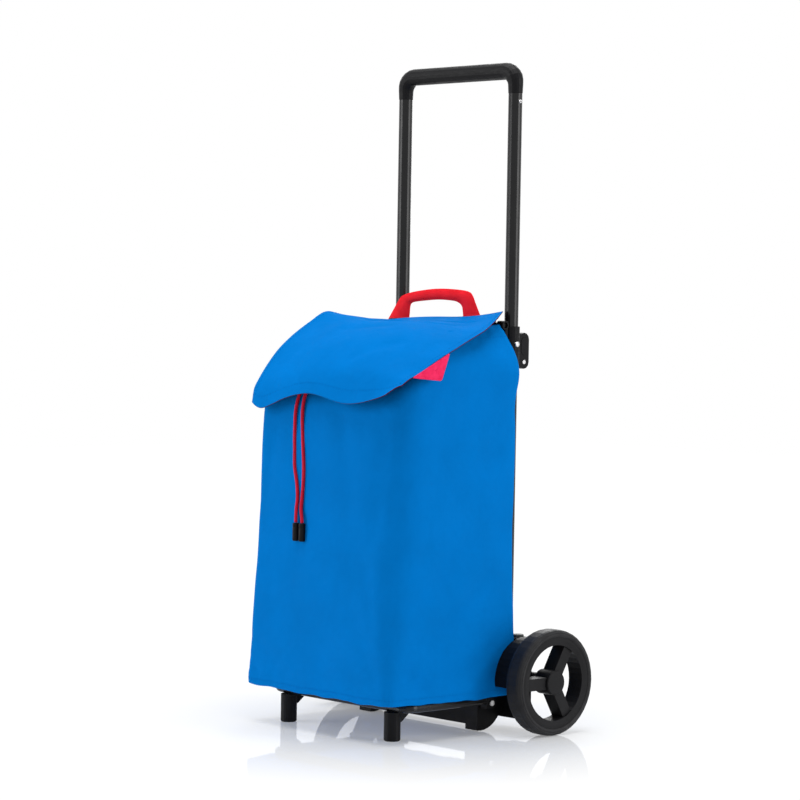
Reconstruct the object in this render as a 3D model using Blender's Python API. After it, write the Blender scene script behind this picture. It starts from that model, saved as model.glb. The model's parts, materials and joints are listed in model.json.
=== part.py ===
"""Two-wheeled shopping trolley with a folding handle, a folding platform and a soft bag.

Metres, +Z up. The origin is on the floor, midway between the wheels and midway between
the bag's front and the wheels' back. -Y is the bag's front and +X is the right-hand wheel.
"""

from math import cos, pi, radians, sin

import bmesh
import bpy
from mathutils import Matrix, Vector

# Wheels and axle
WHEEL_RADIUS = 0.075
WHEEL_WIDTH = 0.030
WHEEL_FACE_X = 0.220
WHEEL_STEPS = 40
TYRE_INNER_RADIUS = 0.0652
RIM_INNER_RADIUS = 0.0535
HUB_RADIUS = 0.0175
SPOKE_COUNT = 3
SPOKE_WIDTH = 0.017
AXLE_Y = 0.0925
AXLE_Z = WHEEL_RADIUS
AXLE_RADIUS = 0.005
RUNNING_GAP = 0.0003

# Tubes of the frame and the handle
TUBE_X = 0.1147
TUBE_Y = 0.094
TUBE_RADIUS = 0.010
TUBE_WALL = 0.0015
TUBE_SIDES = 20
GRIP_Z = 0.939
GRIP_RADIUS = 0.0122
GRIP_BEND = 0.019
GRIP_END_Z = 0.907
SPIGOT_RADIUS = 0.0082
SPIGOT_LENGTH = 0.030

# Folding joint of the handle
PIVOT_X = TUBE_X - 0.0095
PIVOT_Y = TUBE_Y + 0.025
PIVOT_Z = 0.524
PIVOT_RADIUS = 0.003
PARTING_Z = 0.5405
COLLAR_TOP_Z = 0.575
COLLAR_RADIUS = 0.0125
SOCKET_BOTTOM_Z = 0.498
EAR_RADIUS = 0.0097
EAR_HALF_WIDTH = 0.0033
CHEEK_INNER = 0.0036
CHEEK_OUTER = 0.0115
POCKET_FLOOR = 0.0060
BUTTON_TRAVEL = 0.0025

# Hanger bar that carries the bag
BAR_RADIUS = 0.004
BAR_Y = TUBE_Y - 0.0175
BAR_Z = 0.5765
BAR_HALF_LENGTH = 0.118

# Rear bracket
SLEEVE_RADIUS = 0.0135
SLEEVE_TOP_Z = 0.128
SLEEVE_FLOOR_Z = 0.087
FENDER_RADIUS = 0.060
FENDER_WALL = 0.003
FENDER_IN_X = 0.1556
FENDER_OUT_X = 0.1815
BOSS_RADIUS = 0.011
BOSS_OUT_X = 0.1875
LOBE_IN_X = 0.1005
LOBE_OUT_X = 0.125
LOBE_TOP_Z = 0.0535
LOBE_FRONT_Y = TUBE_Y - 0.0635

# Platform
ARM_X = 0.1385
ARM_RADIUS = 0.007
ARM_Z = 0.0475
BEAM_Y = TUBE_Y - 0.214
PLATFORM_BEND = 0.014
HINGE_Y = TUBE_Y - 0.055
HINGE_Z = 0.0425
LUG_FRONT_Y = HINGE_Y - 0.0097
FOOT_X = 0.1103
FOOT_RADIUS = 0.0117

# Bag
BAG_BACK_Y = TUBE_Y - 0.0185
BAG_WALL = 0.002
MOUTH_Z = 0.566
FRONT_Y = -(AXLE_Y + WHEEL_RADIUS)
FLAP_SEAM_Y = TUBE_Y - 0.014
FLAP_SEAM_Z = 0.5880
FLAP_FRONT_Y = TUBE_Y - 0.2600
FLAP_WALL = 0.0015
LOOP_X = -0.032
LOOP_Y = TUBE_Y - 0.0114
LOOP_FOOT_Z = 0.5845
LOOP_WALL = 0.0022
HEM_Z = 0.4710
CORD_RADIUS = 0.0024

SIDES = {"left": -1, "right": 1}

PAINT_BLACK = ("black_paint", (0.012, 0.012, 0.013), 0.32, 0.0)
PLASTIC_BLACK = ("black_plastic", (0.010, 0.010, 0.011), 0.48, 0.0)
RIM_PLASTIC = ("rim_plastic", (0.022, 0.021, 0.023), 0.55, 0.0)
TYRE_RUBBER = ("tyre_rubber", (0.020, 0.019, 0.021), 0.70, 0.0)
CAP_GREY = ("cap_grey", (0.10, 0.105, 0.10), 0.50, 0.0)
STEEL = ("bright_steel", (0.62, 0.62, 0.62), 0.25, 1.0)
BAG_BLUE = ("bag_blue", (0.0, 0.17, 0.56), 0.80, 0.0)
WEBBING_RED = ("webbing_red", (0.62, 0.012, 0.025), 0.80, 0.0)
CORD_RED = ("cord_red", (0.42, 0.008, 0.030), 0.80, 0.0)
TAB_PINK = ("tab_pink", (0.85, 0.012, 0.090), 0.60, 0.0)
BOARD_GREY = ("board_grey", (0.09, 0.09, 0.095), 0.70, 0.0)


def clear_scene():
    for obj in list(bpy.data.objects):
        bpy.data.objects.remove(obj)


def material(finish):
    name, colour, roughness, metallic = finish
    made = bpy.data.materials.get(name) or bpy.data.materials.new(name)
    made.use_nodes = True
    shader = made.node_tree.nodes["Principled BSDF"]
    shader.inputs["Base Color"].default_value = (*colour, 1.0)
    shader.inputs["Roughness"].default_value = roughness
    shader.inputs["Metallic"].default_value = metallic
    return made


def link(name, mesh, finish=PLASTIC_BLACK):
    obj = bpy.data.objects.new(name, mesh)
    bpy.context.scene.collection.objects.link(obj)
    mesh.materials.append(material(finish))
    return obj


def from_bmesh(name, bm, finish=PLASTIC_BLACK):
    """Makes an object of a bmesh, facing out and shaded smooth on its round faces."""
    bmesh.ops.remove_doubles(bm, verts=bm.verts, dist=1e-6)
    bmesh.ops.recalc_face_normals(bm, faces=bm.faces)
    mesh = bpy.data.meshes.new(name)
    bm.to_mesh(mesh)
    bm.free()
    mesh.shade_smooth()
    mesh.set_sharp_from_angle(angle=radians(35))
    return link(name, mesh, finish)


def bridge(bm, rings, closed_ends=True):
    """Skins a list of equally long rings of vertices, and caps the first and the last."""
    for first, second in zip(rings, rings[1:]):
        count = len(first)
        for i in range(count):
            j = (i + 1) % count
            bm.faces.new((first[i], first[j], second[j], second[i]))
    if closed_ends:
        bm.faces.new(rings[0])
        bm.faces.new(rings[-1])


def block(name, low, high):
    bm = bmesh.new()
    size = Vector(high) - Vector(low)
    middle = (Vector(high) + Vector(low)) / 2
    bmesh.ops.create_cube(bm, size=1.0, matrix=Matrix.LocRotScale(middle, None, size))
    return from_bmesh(name, bm)


def turned(name, profile, axis, at, steps=TUBE_SIDES, finish=PLASTIC_BLACK):
    """Turns (distance along the axis, radius) pairs about an axis through a point.

    The profile ends on the axis, with radius 0, or closes on itself as a ring."""
    along = Vector(axis)
    across = Vector((0, 0, 1)) if abs(along.z) < 0.5 else Vector((1, 0, 0))
    side = along.cross(across)
    closed_ring = profile[0][1] > 0
    bm = bmesh.new()
    rings = []
    for distance, radius in profile:
        ring = []
        for k in range(steps):
            angle = 2 * pi * k / steps
            spoke = across * cos(angle) + side * sin(angle)
            ring.append(bm.verts.new(Vector(at) + along * distance + spoke * radius))
        rings.append(ring)
    if closed_ring:
        rings.append(rings[0])
    bridge(bm, rings, closed_ends=False)
    return from_bmesh(name, bm, finish)


def rod(name, start, end, radius, steps=TUBE_SIDES, finish=PLASTIC_BLACK):
    length = (Vector(end) - Vector(start)).length
    axis = (Vector(end) - Vector(start)).normalized()
    return turned(name, [(0, 0), (0, radius), (length, radius), (length, 0)], axis, start, steps, finish)


def pipe(name, start, end, radius, wall, finish=PAINT_BLACK):
    length = (Vector(end) - Vector(start)).length
    axis = (Vector(end) - Vector(start)).normalized()
    inner = radius - wall
    profile = [(0, radius), (length, radius), (length, inner), (0, inner)]
    return turned(name, profile, axis, start, finish=finish)


def plate(name, outline, x_from, x_to):
    """A flat plate across X with a (y, z) outline."""
    bm = bmesh.new()
    rings = [[bm.verts.new((x, y, z)) for y, z in outline] for x in sorted((x_from, x_to))]
    bridge(bm, rings)
    return from_bmesh(name, bm)


def arc(centre, radius, start, end, steps):
    """Points on an arc, with angles in degrees from the outline's first axis to its second."""
    angles = [radians(start + (end - start) * k / steps) for k in range(steps + 1)]
    return [(centre[0] + radius * cos(a), centre[1] + radius * sin(a)) for a in angles]


def stadium(low, high, radius, steps=6):
    """An upright (y, z) oblong with round ends, between two centres one above the other."""
    return arc(high, radius, 0, 180, steps) + arc(low, radius, 180, 360, steps)


def combine(name, pieces, cutters=(), finish=PLASTIC_BLACK):
    """Joins the pieces into the first one and cuts the cutters out of it."""
    whole = pieces[0]
    whole.name = name
    whole.data.materials.clear()
    whole.data.materials.append(material(finish))
    helpers = [(piece, "UNION") for piece in pieces[1:]]
    helpers += [(cutter, "DIFFERENCE") for cutter in cutters]
    for helper, operation in helpers:
        step = whole.modifiers.new(f"{operation.lower()}_{helper.name}", "BOOLEAN")
        step.operation = operation
        step.object = helper
        helper.hide_render = True
        helper.display_type = "WIRE"
    return whole


def swept(name, path, radii, steps, finish):
    """A round bar along a path that lies in a plane across Y or across Z, capped at both ends."""
    normal = (path[1] - path[0]).cross(path[len(path) // 2] - path[0]).normalized()
    bm = bmesh.new()
    rings = []
    for k, (point, radius) in enumerate(zip(path, radii)):
        before = path[max(k - 1, 0)]
        after = path[min(k + 1, len(path) - 1)]
        if (point - before).length < 1e-9:
            before = path[max(k - 2, 0)]
        if (after - point).length < 1e-9:
            after = path[min(k + 2, len(path) - 1)]
        across = (after - before).normalized().cross(normal)
        ring = []
        for i in range(steps):
            angle = 2 * pi * i / steps
            ring.append(bm.verts.new(point + (across * cos(angle) + normal * sin(angle)) * radius))
        rings.append(ring)
    bridge(bm, rings)
    return from_bmesh(name, bm, finish)


def pivot(name, location):
    empty = bpy.data.objects.new(name, None)
    empty.location = location
    bpy.context.scene.collection.objects.link(empty)
    return empty


def hold(parent, *objects):
    """Parents objects that are already in place to an empty."""
    for obj in objects:
        obj.parent = parent
        obj.matrix_parent_inverse = Matrix.Translation(-parent.location)


# Wheels


def tyre(side, sign):
    inner_x = WHEEL_FACE_X - WHEEL_WIDTH
    shoulder = 0.007
    tread = arc((shoulder, WHEEL_RADIUS - shoulder), shoulder, 180, 90, 3)
    tread += arc((WHEEL_WIDTH - shoulder, WHEEL_RADIUS - shoulder), shoulder, 90, 0, 3)
    profile = tread + [(WHEEL_WIDTH - 0.0012, TYRE_INNER_RADIUS), (0.0012, TYRE_INNER_RADIUS)]
    centre = (sign * inner_x, AXLE_Y, AXLE_Z)
    return turned(f"tyre_{side}", profile, (sign, 0, 0), centre, WHEEL_STEPS, TYRE_RUBBER)


def wheel_rim(side, sign):
    """The moulded rim: a barrel ring, a hub and three spokes."""
    inner_x = WHEEL_FACE_X - WHEEL_WIDTH
    centre = (sign * inner_x, AXLE_Y, AXLE_Z)
    axis = (sign, 0, 0)
    outer = TYRE_INNER_RADIUS - RUNNING_GAP
    barrel = [(0.002, outer), (0.0285, outer), (0.0285, 0.0605)]
    barrel += [(0.0275, RIM_INNER_RADIUS), (0.002, RIM_INNER_RADIUS)]
    ring = turned(f"rim_{side}", barrel, axis, centre, WHEEL_STEPS)
    bore = AXLE_RADIUS + RUNNING_GAP
    pocket = HUB_RADIUS - 0.0025
    hub_profile = [(0.001, HUB_RADIUS), (0.0255, HUB_RADIUS), (0.0255, pocket), (0.018, pocket)]
    hub_profile += [(0.018, bore), (0.001, bore)]
    hub = turned(f"hub_{side}", hub_profile, axis, centre, WHEEL_STEPS)
    spokes = [spoke(side, sign, k, inner_x) for k in range(SPOKE_COUNT)]
    return combine(f"wheel_rim_{side}", [ring, hub, *spokes], finish=RIM_PLASTIC)


def spoke(side, sign, index, inner_x):
    low = (inner_x + 0.003, -SPOKE_WIDTH / 2, HUB_RADIUS - 0.0018)
    high = (inner_x + 0.0250, SPOKE_WIDTH / 2, RIM_INNER_RADIUS + 0.004)
    bar = block(f"spoke_{side}_{index}", low, high)
    turn = Matrix.Rotation(radians(90 + 360 / SPOKE_COUNT * index), 4, "X")
    flip = Matrix.Scale(sign, 4, (1, 0, 0))
    bar.data.transform(Matrix.Translation((0, AXLE_Y, AXLE_Z)) @ turn @ flip)
    if sign < 0:
        bar.data.flip_normals()
    return bar


def hub_cap(side, sign):
    """The round cap that hides the axle's end, with a raised slot bar across it."""
    start = WHEEL_FACE_X - WHEEL_WIDTH + 0.0258
    radius = HUB_RADIUS - 0.0003
    profile = [(0, 0), (0, radius), (0.0022, radius), (0.0032, radius - 0.001), (0.0032, 0)]
    centre = (sign * start, AXLE_Y, AXLE_Z)
    return turned(f"hub_cap_{side}", profile, (sign, 0, 0), centre, 28, RIM_PLASTIC)


def axle_clip(side, sign):
    """The spring washer that keeps the wheel on the axle, inside the hub's pocket."""
    inner = AXLE_RADIUS + 0.0002
    profile = [(0, 0.0085), (0.0012, 0.0085), (0.0012, inner), (0, inner)]
    centre = (sign * (WHEEL_FACE_X - WHEEL_WIDTH + 0.0185), AXLE_Y, AXLE_Z)
    return turned(f"axle_clip_{side}", profile, (sign, 0, 0), centre, 16, STEEL)


def wheel_spacer(side, sign):
    inner = AXLE_RADIUS + 0.0002
    start = BOSS_OUT_X + 0.0003
    end = WHEEL_FACE_X - WHEEL_WIDTH + 0.0007
    profile = [(0, 0.009), (end - start, 0.009), (end - start, inner), (0, inner)]
    centre = (sign * start, AXLE_Y, AXLE_Z)
    return turned(f"wheel_spacer_{side}", profile, (sign, 0, 0), centre, 16)


def axle():
    end = WHEEL_FACE_X - WHEEL_WIDTH + 0.0225
    return rod("axle", (-end, AXLE_Y, AXLE_Z), (end, AXLE_Y, AXLE_Z), AXLE_RADIUS, 16, STEEL)


# Handle


def grip():
    """The moulded U-shaped grip, whose ends plug into the two upper tubes."""
    corner_x = TUBE_X - GRIP_BEND
    corner_z = GRIP_Z - GRIP_BEND
    turn = arc((corner_x, corner_z), GRIP_BEND, 0, 90, 6)
    half = [(TUBE_X, GRIP_END_Z - SPIGOT_LENGTH), (TUBE_X, GRIP_END_Z), (TUBE_X, GRIP_END_Z)]
    half += turn
    radii = [SPIGOT_RADIUS, SPIGOT_RADIUS, TUBE_RADIUS + 0.0004]
    radii += [TUBE_RADIUS + 0.0010, TUBE_RADIUS + 0.0016] + [GRIP_RADIUS] * 5
    path = [Vector((x, TUBE_Y, z)) for x, z in half]
    path += [Vector((-x, TUBE_Y, z)) for x, z in reversed(half)]
    radii += list(reversed(radii))
    body = swept("grip", path, radii, TUBE_SIDES, PLASTIC_BLACK)
    holes = [rivet_hole(f"grip_{side}", sign, rivet_z(), 0.0045) for side, sign in SIDES.items()]
    return combine("grip", [body], holes)


def rivet_z():
    return GRIP_END_Z - 0.012


def rivet_hole(name, sign, z, depth, radius=0.0019):
    start = (sign * (TUBE_X + TUBE_RADIUS + 0.004), TUBE_Y, z)
    end = (sign * (TUBE_X + TUBE_RADIUS - depth), TUBE_Y, z)
    return rod(f"hole_{name}", start, end, radius, 12)


def upper_tube(side, sign):
    bottom = (sign * TUBE_X, TUBE_Y, PARTING_Z + 0.0035)
    top = (sign * TUBE_X, TUBE_Y, GRIP_END_Z - 0.0003)
    body = pipe(f"upper_tube_{side}", bottom, top, TUBE_RADIUS, TUBE_WALL)
    cutters = [rivet_hole(f"tube_top_{side}", sign, rivet_z(), 0.004)]
    cutters.append(rivet_hole(f"tube_foot_{side}", sign, collar_rivet_z(), 0.004, 0.0027))
    return combine(f"upper_tube_{side}", [body], cutters, PAINT_BLACK)


def grip_rivet(side, sign):
    """A hollow rivet: its head lies on the tube and its shank goes through the wall."""
    profile = [(0, 0.0016), (0.0035, 0.0016), (0.0035, 0.0028), (0.0043, 0.0024)]
    profile += [(0.0043, 0.0011), (0, 0.0011)]
    centre = (sign * (TUBE_X + TUBE_RADIUS - 0.0032), TUBE_Y, rivet_z())
    return turned(f"grip_rivet_{side}", profile, (sign, 0, 0), centre, 14, STEEL)


def collar_rivet_z():
    return 0.5497


def collar_rivet(side, sign):
    """The bright domed rivet that holds the upper tube in its collar."""
    shank = 0.0055
    profile = [(0, 0), (0, 0.0024), (shank, 0.0024), (shank, 0.0042), (shank + 0.0009, 0.0038)]
    profile += [(shank + 0.0016, 0.0024), (shank + 0.0019, 0)]
    centre = (sign * (TUBE_X + COLLAR_RADIUS + 0.0003 - shank), TUBE_Y, collar_rivet_z())
    return turned(f"collar_rivet_{side}", profile, (sign, 0, 0), centre, 16, STEEL)


def hinge_upper(side, sign):
    """The upper casting: a collar on the tube and two oval cheeks behind it."""
    x = sign * TUBE_X
    pivot_x = sign * PIVOT_X
    collar = rod(f"collar_{side}", (x, TUBE_Y, PARTING_Z), (x, TUBE_Y, COLLAR_TOP_Z), COLLAR_RADIUS)
    cheek_outline = stadium((PIVOT_Y, PIVOT_Z), (PIVOT_Y, 0.5563), EAR_RADIUS)
    neck_low = (pivot_x - CHEEK_OUTER, TUBE_Y + 0.006, 0.5455)
    neck_high = (pivot_x + CHEEK_OUTER, PIVOT_Y - 0.0035, 0.5625)
    pieces = [collar, block(f"neck_{side}", neck_low, neck_high)]
    for name, face in (("inner", -1), ("outer", 1)):
        near = pivot_x + sign * face * CHEEK_INNER
        far = pivot_x + sign * face * CHEEK_OUTER
        pieces.append(plate(f"cheek_{name}_{side}", cheek_outline, near, far))
    bore_start = (x, TUBE_Y, PARTING_Z + 0.0032)
    bore = rod(f"collar_bore_{side}", bore_start, (x, TUBE_Y, 0.6), TUBE_RADIUS + RUNNING_GAP)
    pin_radius = PIVOT_RADIUS + RUNNING_GAP
    pin = cross_hole(f"upper_pin_{side}", pivot_x, pin_radius, CHEEK_OUTER + 0.002)
    hole = rivet_hole(f"collar_{side}", sign, collar_rivet_z(), 0.004, 0.0027)
    return combine(f"hinge_upper_{side}", pieces, [bore, pin, hole, button_pocket(side, sign)])


def cross_hole(name, x, radius, reach):
    return rod(name, (x - reach, PIVOT_Y, PIVOT_Z), (x + reach, PIVOT_Y, PIVOT_Z), radius, 12)


def button_outline(gap):
    radius = 0.0062 - gap
    return stadium((PIVOT_Y, 0.5400), (PIVOT_Y, 0.5535), radius)


def button_pocket(side, sign):
    x = sign * PIVOT_X
    return plate(f"pocket_{side}", button_outline(0), x + sign * POCKET_FLOOR, x + sign * 0.0135)


def lock_button(side, sign):
    """The button in the outer cheek, pressed inwards to free the handle."""
    x = sign * PIVOT_X
    inner = x + sign * (POCKET_FLOOR + BUTTON_TRAVEL + 0.0003)
    outer = x + sign * (CHEEK_OUTER + 0.0004)
    button = plate(f"lock_button_{side}", button_outline(0.0003), inner, outer)
    return combine(f"lock_button_{side}", [button])


def hinge_lower(side, sign):
    """The lower casting: a socket on the tube, an ear behind it and an arm in front."""
    x = sign * TUBE_X
    pivot_x = sign * PIVOT_X
    top = (x, TUBE_Y, PARTING_Z - 0.0004)
    socket = rod(f"socket_{side}", (x, TUBE_Y, SOCKET_BOTTOM_Z), top, COLLAR_RADIUS)
    ear_outline = arc((PIVOT_Y, PIVOT_Z), 0.009, -90, 90, 8)
    ear_outline += [(TUBE_Y + 0.004, PIVOT_Z + 0.009), (TUBE_Y + 0.004, PIVOT_Z - 0.009)]
    ear = plate(f"ear_{side}", ear_outline, pivot_x - EAR_HALF_WIDTH, pivot_x + EAR_HALF_WIDTH)
    arm_low = (x - 0.0065, BAR_Y - 0.0005, 0.512)
    arm_high = (x + 0.0065, TUBE_Y - 0.0129, BAR_Z + 0.006)
    arm = block(f"arm_{side}", arm_low, arm_high)
    root_low = (x - 0.0065, TUBE_Y - 0.0135, 0.512)
    root = block(f"arm_root_{side}", root_low, (x + 0.0065, TUBE_Y - 0.0105, 0.536))
    head = rod(
        f"bar_holder_{side}",
        (x - 0.0065, BAR_Y, BAR_Z),
        (x + 0.0065, BAR_Y, BAR_Z),
        BAR_RADIUS + 0.0025,
        16,
    )
    bore_end = (x, TUBE_Y, PARTING_Z - 0.0035)
    bore = rod(f"socket_bore_{side}", (x, TUBE_Y, 0.45), bore_end, TUBE_RADIUS + RUNNING_GAP)
    pin = cross_hole(f"lower_pin_{side}", pivot_x, PIVOT_RADIUS + RUNNING_GAP, 0.006)
    bar = rod(
        f"bar_hole_{side}",
        (x - 0.009, BAR_Y, BAR_Z),
        (x + 0.009, BAR_Y, BAR_Z),
        BAR_RADIUS + RUNNING_GAP,
        16,
    )
    clear_collar = rod(
        f"collar_clearance_{side}",
        (x, TUBE_Y, PARTING_Z),
        (x, TUBE_Y, 0.6),
        COLLAR_RADIUS + 0.0006,
    )
    return combine(f"hinge_lower_{side}", [socket, ear, arm, root, head], [bore, pin, bar, clear_collar])


def hinge_pin(side, sign):
    x = sign * PIVOT_X
    reach = CHEEK_OUTER + 0.0006
    start = (x - reach, PIVOT_Y, PIVOT_Z)
    return rod(f"hinge_pin_{side}", start, (x + reach, PIVOT_Y, PIVOT_Z), PIVOT_RADIUS, 12, STEEL)


# Frame


def lower_tube(side, sign):
    x = sign * TUBE_X
    top = (x, TUBE_Y, PARTING_Z - 0.0040)
    bottom = (x, TUBE_Y, SLEEVE_FLOOR_Z + 0.0003)
    return pipe(f"lower_tube_{side}", bottom, top, TUBE_RADIUS, TUBE_WALL)


def hanger_bar():
    start = (-BAR_HALF_LENGTH, BAR_Y, BAR_Z)
    end = (BAR_HALF_LENGTH, BAR_Y, BAR_Z)
    return rod("hanger_bar", start, end, BAR_RADIUS, 14, PAINT_BLACK)


def lobe_outline():
    """The skid's side view: upright front, round underside and a rise towards the axle."""
    under = arc((TUBE_Y - 0.0575, 0.0442), 0.043, 262, 332, 7)
    rear_y = TUBE_Y + 0.0135
    return under + [(rear_y, 0.024), (rear_y, LOBE_TOP_Z), (LOBE_FRONT_Y, LOBE_TOP_Z)]


def fender_outline():
    """A quarter band around the front upper part of the axle, with a short foot."""
    centre = (AXLE_Y, AXLE_Z)
    outside = arc(centre, FENDER_RADIUS, 98, 186, 9)
    inside = arc(centre, FENDER_RADIUS - FENDER_WALL, 186, 98, 9)
    return outside + inside


def rear_bracket(side, sign):
    x = sign * TUBE_X
    sleeve = rod(f"sleeve_{side}", (x, TUBE_Y, 0.022), (x, TUBE_Y, SLEEVE_TOP_Z), SLEEVE_RADIUS)
    lobe = plate(f"lobe_{side}", lobe_outline(), sign * LOBE_IN_X, sign * LOBE_OUT_X)
    fender = plate(f"fender_{side}", fender_outline(), sign * FENDER_IN_X, sign * FENDER_OUT_X)
    boss_start = (sign * (TUBE_X + 0.004), AXLE_Y, AXLE_Z)
    boss = rod(f"boss_{side}", boss_start, (sign * BOSS_OUT_X, AXLE_Y, AXLE_Z), BOSS_RADIUS)
    web_y = (TUBE_Y - 0.0155, TUBE_Y - 0.0105)
    web = side_block(f"web_{side}", sign, (0.118, 0.1785), web_y, (0.018, 0.1318))
    fender_foot_y = (AXLE_Y - FENDER_RADIUS + 0.001, TUBE_Y - 0.0130)
    foot = side_block(f"fender_foot_{side}", sign, (0.1564, 0.1775), fender_foot_y, (0.068, 0.071))
    top_y = (TUBE_Y - 0.0147, TUBE_Y + 0.0120)
    top = side_block(f"top_flange_{side}", sign, (0.120, 0.1570), top_y, (0.1288, 0.1325))
    low_y = (TUBE_Y - 0.0143, TUBE_Y + 0.0115)
    low = side_block(f"low_flange_{side}", sign, (0.125, 0.1765), low_y, (0.0190, 0.0225))
    rib_y = (TUBE_Y - 0.0135, TUBE_Y + 0.0105)
    rib = side_block(f"rib_{side}", sign, (0.150, 0.153), rib_y, (0.0205, 0.130))
    pieces = [sleeve, lobe, fender, boss, web, foot, top, low, rib]
    floor = (x, TUBE_Y, SLEEVE_FLOOR_Z)
    bore = rod(f"sleeve_bore_{side}", floor, (x, TUBE_Y, 0.2), TUBE_RADIUS + RUNNING_GAP)
    axle_start = (sign * 0.090, AXLE_Y, AXLE_Z)
    axle_end = (sign * 0.200, AXLE_Y, AXLE_Z)
    axle_bore = rod(f"axle_bore_{side}", axle_start, axle_end, AXLE_RADIUS + RUNNING_GAP, 16)
    pin_boss_start = (sign * (LOBE_IN_X + 0.001), HINGE_Y, HINGE_Z)
    pin_boss_end = (sign * (ARM_X - 0.0063), HINGE_Y, HINGE_Z)
    pieces.append(rod(f"pin_boss_{side}", pin_boss_start, pin_boss_end, 0.0075, 16))
    pin_start = (sign * 0.100, HINGE_Y, HINGE_Z)
    pin_bore = rod(f"pin_bore_{side}", pin_start, (sign * 0.140, HINGE_Y, HINGE_Z), 0.0043, 14)
    return combine(f"rear_bracket_{side}", pieces, [bore, axle_bore, pin_bore])


def side_block(name, sign, x_span, y_span, z_span):
    xs = sorted(sign * x for x in x_span)
    return block(name, (xs[0], y_span[0], z_span[0]), (xs[1], y_span[1], z_span[1]))


def bracket_cap(side, sign):
    """The round grey cap on the bracket's top flange."""
    profile = [(0, 0), (0, 0.0085), (0.0028, 0.0085), (0.0036, 0.0075), (0.0036, 0)]
    centre = (sign * 0.1395, TUBE_Y, 0.1328)
    return turned(f"bracket_cap_{side}", profile, (0, 0, 1), centre, 24, CAP_GREY)


def rear_crossbeam():
    low = (-LOBE_IN_X + 0.0004, TUBE_Y - 0.052, 0.0065)
    high = (LOBE_IN_X - 0.0004, TUBE_Y - 0.030, 0.0340)
    beam = block("rear_crossbeam", low, high)
    channel_low = (-LOBE_IN_X - 0.01, low[1] + 0.003, low[2] + 0.003)
    channel_high = (LOBE_IN_X + 0.01, high[1] - 0.003, high[2] + 0.01)
    channel = block("crossbeam_channel", channel_low, channel_high)
    return combine("rear_crossbeam", [beam], [channel])


def platform_pin(side, sign):
    start = (sign * (LOBE_IN_X - 0.002), HINGE_Y, HINGE_Z)
    end = (sign * (ARM_X + 0.0075), HINGE_Y, HINGE_Z)
    return rod(f"platform_pin_{side}", start, end, 0.004, 14, STEEL)


# Platform


def platform_tube():
    """The bent U tube that carries the bag's base."""
    corner = (ARM_X - PLATFORM_BEND, BEAM_Y + PLATFORM_BEND)
    half = [(ARM_X, LUG_FRONT_Y - 0.0003)]
    half += arc(corner, PLATFORM_BEND, 0, -90, 6)
    path = [Vector((x, y, ARM_Z)) for x, y in half]
    path += [Vector((-x, y, ARM_Z)) for x, y in reversed(half)]
    radii = [ARM_RADIUS] * len(path)
    return swept("platform_tube", path, radii, 14, PAINT_BLACK)


def platform_lug(side, sign):
    """The end piece of each arm, which turns on the platform's pivot pin."""
    outline = arc((HINGE_Y, HINGE_Z), 0.0078, -90, 90, 7)
    outline += [(LUG_FRONT_Y, 0.0525), (LUG_FRONT_Y, 0.0355)]
    body = plate(f"lug_{side}", outline, sign * (ARM_X - 0.006), sign * (ARM_X + 0.006))
    bore = rod(
        f"lug_bore_{side}",
        (sign * (ARM_X - 0.01), HINGE_Y, HINGE_Z),
        (sign * (ARM_X + 0.01), HINGE_Y, HINGE_Z),
        0.0043,
        14,
    )
    return combine(f"platform_lug_{side}", [body], [bore])


def foot(side, sign):
    """A moulded leg under the front beam, with a gusset that runs back."""
    x = sign * FOOT_X
    top_z = ARM_Z - ARM_RADIUS - 0.0003
    edge = 0.0015
    profile = [(0, 0), (0, FOOT_RADIUS - edge), (edge, FOOT_RADIUS), (top_z, FOOT_RADIUS), (top_z, 0)]
    leg = turned(f"leg_{side}", profile, (0, 0, 1), (x, BEAM_Y, 0), 24)
    outline = [(BEAM_Y + 0.005, top_z - 0.0002), (BEAM_Y + 0.005, top_z - 0.017)]
    outline += [(BEAM_Y + FOOT_RADIUS + 0.001, top_z - 0.013), (BEAM_Y + 0.029, top_z - 0.0002)]
    gusset = plate(f"gusset_{side}", outline, x - 0.007, x + 0.007)
    return combine(f"foot_{side}", [leg, gusset])


def base_board():
    """The stiff board inside the bag, which lies on its fabric bottom."""
    low = (-0.137, FRONT_Y + 0.014, 0.0585)
    high = (0.137, TUBE_Y - 0.068, 0.0620)
    return combine("base_board", [block("base_board", low, high)], finish=BOARD_GREY)


# Bag


def bag_sections():
    """(height, half width, front, corner radius) of the bag's outside, from base to mouth."""
    return [
        (0.0550, 0.1515, TUBE_Y - 0.2585, 0.008),
        (0.0640, 0.1545, FRONT_Y, 0.008),
        (0.1500, 0.1530, TUBE_Y - 0.2570, 0.010),
        (0.2400, 0.1515, TUBE_Y - 0.2520, 0.012),
        (0.3500, 0.1500, TUBE_Y - 0.2465, 0.014),
        (0.4550, 0.1500, TUBE_Y - 0.2405, 0.016),
        (0.4800, 0.1520, TUBE_Y - 0.2340, 0.018),
        (0.5000, 0.1560, TUBE_Y - 0.2200, 0.020),
        (0.5150, 0.1580, TUBE_Y - 0.2030, 0.022),
        (0.5350, 0.1520, TUBE_Y - 0.1750, 0.020),
        (0.5520, 0.1370, TUBE_Y - 0.1450, 0.016),
        (MOUTH_Z, 0.1200, TUBE_Y - 0.1200, 0.012),
    ]


def section_ring(half_width, front, back, corner, steps=3):
    """A rounded rectangle of (x, y) points, seen from above."""
    points = []
    corners = (
        (half_width - corner, back - corner, 0),
        (-half_width + corner, back - corner, 90),
        (-half_width + corner, front + corner, 180),
        (half_width - corner, front + corner, 270),
    )
    for x, y, start in corners:
        points += arc((x, y), corner, start, start + 90, steps)
    return points


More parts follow.
